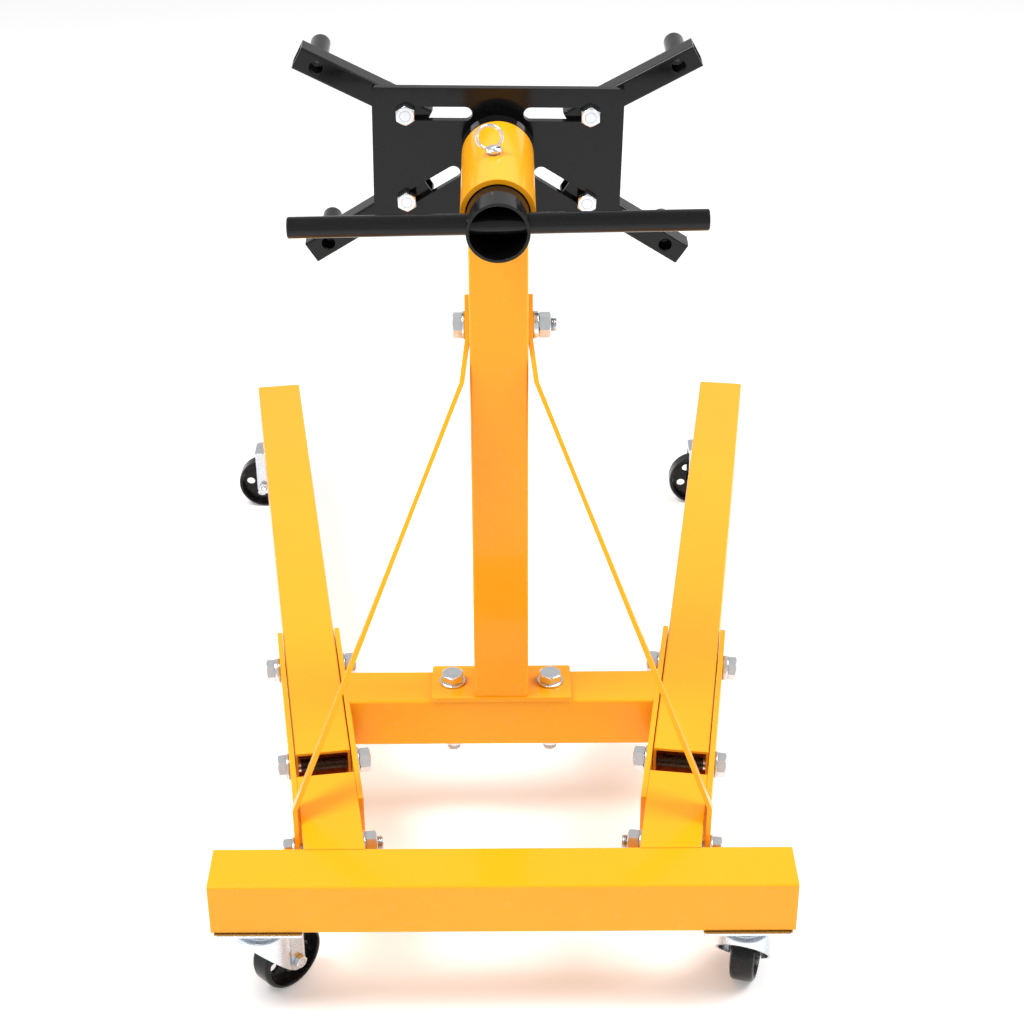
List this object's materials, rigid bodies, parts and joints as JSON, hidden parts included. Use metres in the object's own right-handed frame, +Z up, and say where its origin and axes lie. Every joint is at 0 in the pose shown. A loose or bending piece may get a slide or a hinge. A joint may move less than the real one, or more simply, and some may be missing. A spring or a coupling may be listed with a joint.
{
  "type": "engine stand",
  "caption": "Folding engine stand on casters: two legs, a braced post, and a rotating head plate with a bar handle, a lock pin and swivelling slotted arms that bolt to an engine.",
  "frame": {"origin": "on the floor, at the centre of the outer box", "axes": "+Y from the handle towards the engine, +Z up, +X to the right when standing at the handle"},
  "size_m": [0.7602, 1.1554, 0.9158],
  "materials": {
    "yellow_paint": "gloss powder coat",
    "black_gloss": "gloss paint",
    "zinc": "bright zinc plate",
    "wheel_black": "moulded, semi-gloss"
  },
  "bodies": {
    "frame": {"rear_crossbar": "yellow_paint", "mid_crossbar": "yellow_paint", "stub_l": "yellow_paint", "stub_r": "yellow_paint", "ears": "yellow_paint", "base_plate": "yellow_paint", "post": "yellow_paint", "sleeve": "yellow_paint", "brace_l": "yellow_paint", "brace_r": "yellow_paint", "base_bolts": "zinc", "socket_bolts": "zinc", "stub_bolts": "zinc", "brace_bolt": "zinc", "m16_nuts": "zinc", "m16_washers": "zinc", "caster_plates_rear": "zinc"},
    "leg_l": {"leg_l": "yellow_paint", "caster_plate_fl": "zinc"},
    "leg_r": {"leg_r": "yellow_paint", "caster_plate_fr": "zinc"},
    "head": {"spin_tube": "black_gloss", "collar": "black_gloss", "head_plate": "black_gloss"},
    "handle": {"handle": "black_gloss"},
    "lock_pin": {"lock_pin": "zinc", "pin_ring": "zinc"},
    "clamp_ul": {"slot_bolt_ul": "zinc", "slot_nut_ul": "zinc"},
    "arm_ul": {"arm_ul": "black_gloss", "finger_ul": "black_gloss"},
    "clamp_ur": {"slot_bolt_ur": "zinc", "slot_nut_ur": "zinc"},
    "arm_ur": {"arm_ur": "black_gloss", "finger_ur": "black_gloss"},
    "clamp_ll": {"slot_bolt_ll": "zinc", "slot_nut_ll": "zinc"},
    "arm_ll": {"arm_ll": "black_gloss", "finger_ll": "black_gloss"},
    "clamp_lr": {"slot_bolt_lr": "zinc", "slot_nut_lr": "zinc"},
    "arm_lr": {"arm_lr": "black_gloss", "finger_lr": "black_gloss"},
    "fork_rl": {"fork_rl": "zinc", "axle_bolt_rl": "zinc", "axle_nut_rl": "zinc"},
    "wheel_rl": {"wheel_rl": "wheel_black"},
    "fork_rr": {"fork_rr": "zinc", "axle_bolt_rr": "zinc", "axle_nut_rr": "zinc"},
    "wheel_rr": {"wheel_rr": "wheel_black"},
    "fork_fl": {"fork_fl": "zinc", "axle_bolt_fl": "zinc", "axle_nut_fl": "zinc"},
    "wheel_fl": {"wheel_fl": "wheel_black"},
    "fork_fr": {"fork_fr": "zinc", "axle_bolt_fr": "zinc", "axle_nut_fr": "zinc"},
    "wheel_fr": {"wheel_fr": "wheel_black"}
  },
  "joints": [
    {"name": "head_spin", "type": "hinge", "parent": "frame", "child": "head", "pos_m": [0.01508, -0.21924, 0.809], "axis": [0, 0.9985, 0.0541], "continuous": true},
    {"name": "handle_slide", "type": "slide", "parent": "head", "child": "handle", "axis": [0.9999, -0.0007, 0.0122], "range_m": [-0.15, 0.15]},
    {"name": "lock_pin_pull", "type": "slide", "parent": "frame", "child": "lock_pin", "axis": [-0.0872, -0.0539, 0.9947], "range_m": [-0.003, 0.025]},
    {"name": "clamp_ul_slide", "type": "slide", "parent": "head", "child": "clamp_ul", "axis": [0.9998, 0.0009, -0.0174], "range_m": [0, 0.055]},
    {"name": "arm_ul_swivel", "type": "hinge", "parent": "clamp_ul", "child": "arm_ul", "pos_m": [-0.07984, -0.15206, 0.84635], "axis": [0, -0.9985, -0.0541], "range_deg": [-30, 30]},
    {"name": "clamp_ur_slide", "type": "slide", "parent": "head", "child": "clamp_ur", "axis": [-0.9998, -0.0009, 0.0174], "range_m": [0, 0.055]},
    {"name": "arm_ur_swivel", "type": "hinge", "parent": "clamp_ur", "child": "arm_ur", "pos_m": [0.11113, -0.15188, 0.84302], "axis": [0, 0.9985, 0.0541], "range_deg": [-30, 30]},
    {"name": "clamp_ll_slide", "type": "slide", "parent": "head", "child": "clamp_ll", "axis": [0.8549, -0.0281, 0.5181], "range_m": [0, 0.055]},
    {"name": "arm_ll_swivel", "type": "hinge", "parent": "clamp_ll", "child": "arm_ll", "pos_m": [-0.08103, -0.14685, 0.7501], "axis": [0, 0.9985, 0.0541], "range_deg": [-30, 30]},
    {"name": "clamp_lr_slide", "type": "slide", "parent": "head", "child": "clamp_lr", "axis": [-0.8362, -0.0297, 0.5476], "range_m": [0, 0.055]},
    {"name": "arm_lr_swivel", "type": "hinge", "parent": "clamp_lr", "child": "arm_lr", "pos_m": [0.10894, -0.14667, 0.74679], "axis": [0, -0.9985, -0.0541], "range_deg": [-30, 30]},
    {"name": "leg_r_fold", "type": "hinge", "parent": "frame", "child": "leg_r", "pos_m": [0.21822, -0.32621, 0.138], "axis": [0.9895, -0.1444, 0], "range_deg": [0, 60]},
    {"name": "leg_l_fold", "type": "hinge", "parent": "frame", "child": "leg_l", "pos_m": [-0.18806, -0.32621, 0.138], "axis": [0.9895, 0.1444, 0], "range_deg": [0, 60]},
    {"name": "caster_rl_swivel", "type": "hinge", "parent": "frame", "child": "fork_rl", "pos_m": [-0.23842, -0.54774, 0.098], "axis": [0, 0, 1], "continuous": true},
    {"name": "wheel_rl_spin", "type": "hinge", "parent": "fork_rl", "child": "wheel_rl", "pos_m": [-0.21708, -0.52526, 0.0385], "axis": [0.7254, -0.6884, 0], "continuous": true},
    {"name": "caster_rr_swivel", "type": "hinge", "parent": "frame", "child": "fork_rr", "pos_m": [0.26858, -0.54774, 0.098], "axis": [0, 0, 1], "continuous": true},
    {"name": "wheel_rr_spin", "type": "hinge", "parent": "fork_rr", "child": "wheel_rr", "pos_m": [0.27713, -0.51794, 0.0385], "axis": [0.9613, -0.2756, 0], "continuous": true},
    {"name": "caster_fl_swivel", "type": "hinge", "parent": "leg_l", "child": "fork_fl", "pos_m": [-0.31062, 0.5139, 0.098], "axis": [0, 0, 1], "continuous": true},
    {"name": "wheel_fl_spin", "type": "hinge", "parent": "fork_fl", "child": "wheel_fl", "pos_m": [-0.34162, 0.5139, 0.0385], "axis": [0, 1, 0], "continuous": true},
    {"name": "caster_fr_swivel", "type": "hinge", "parent": "leg_r", "child": "fork_fr", "pos_m": [0.34078, 0.5139, 0.098], "axis": [0, 0, 1], "continuous": true},
    {"name": "wheel_fr_spin", "type": "hinge", "parent": "fork_fr", "child": "wheel_fr", "pos_m": [0.30978, 0.5139, 0.0385], "axis": [0, 1, 0], "continuous": true}
  ]
}
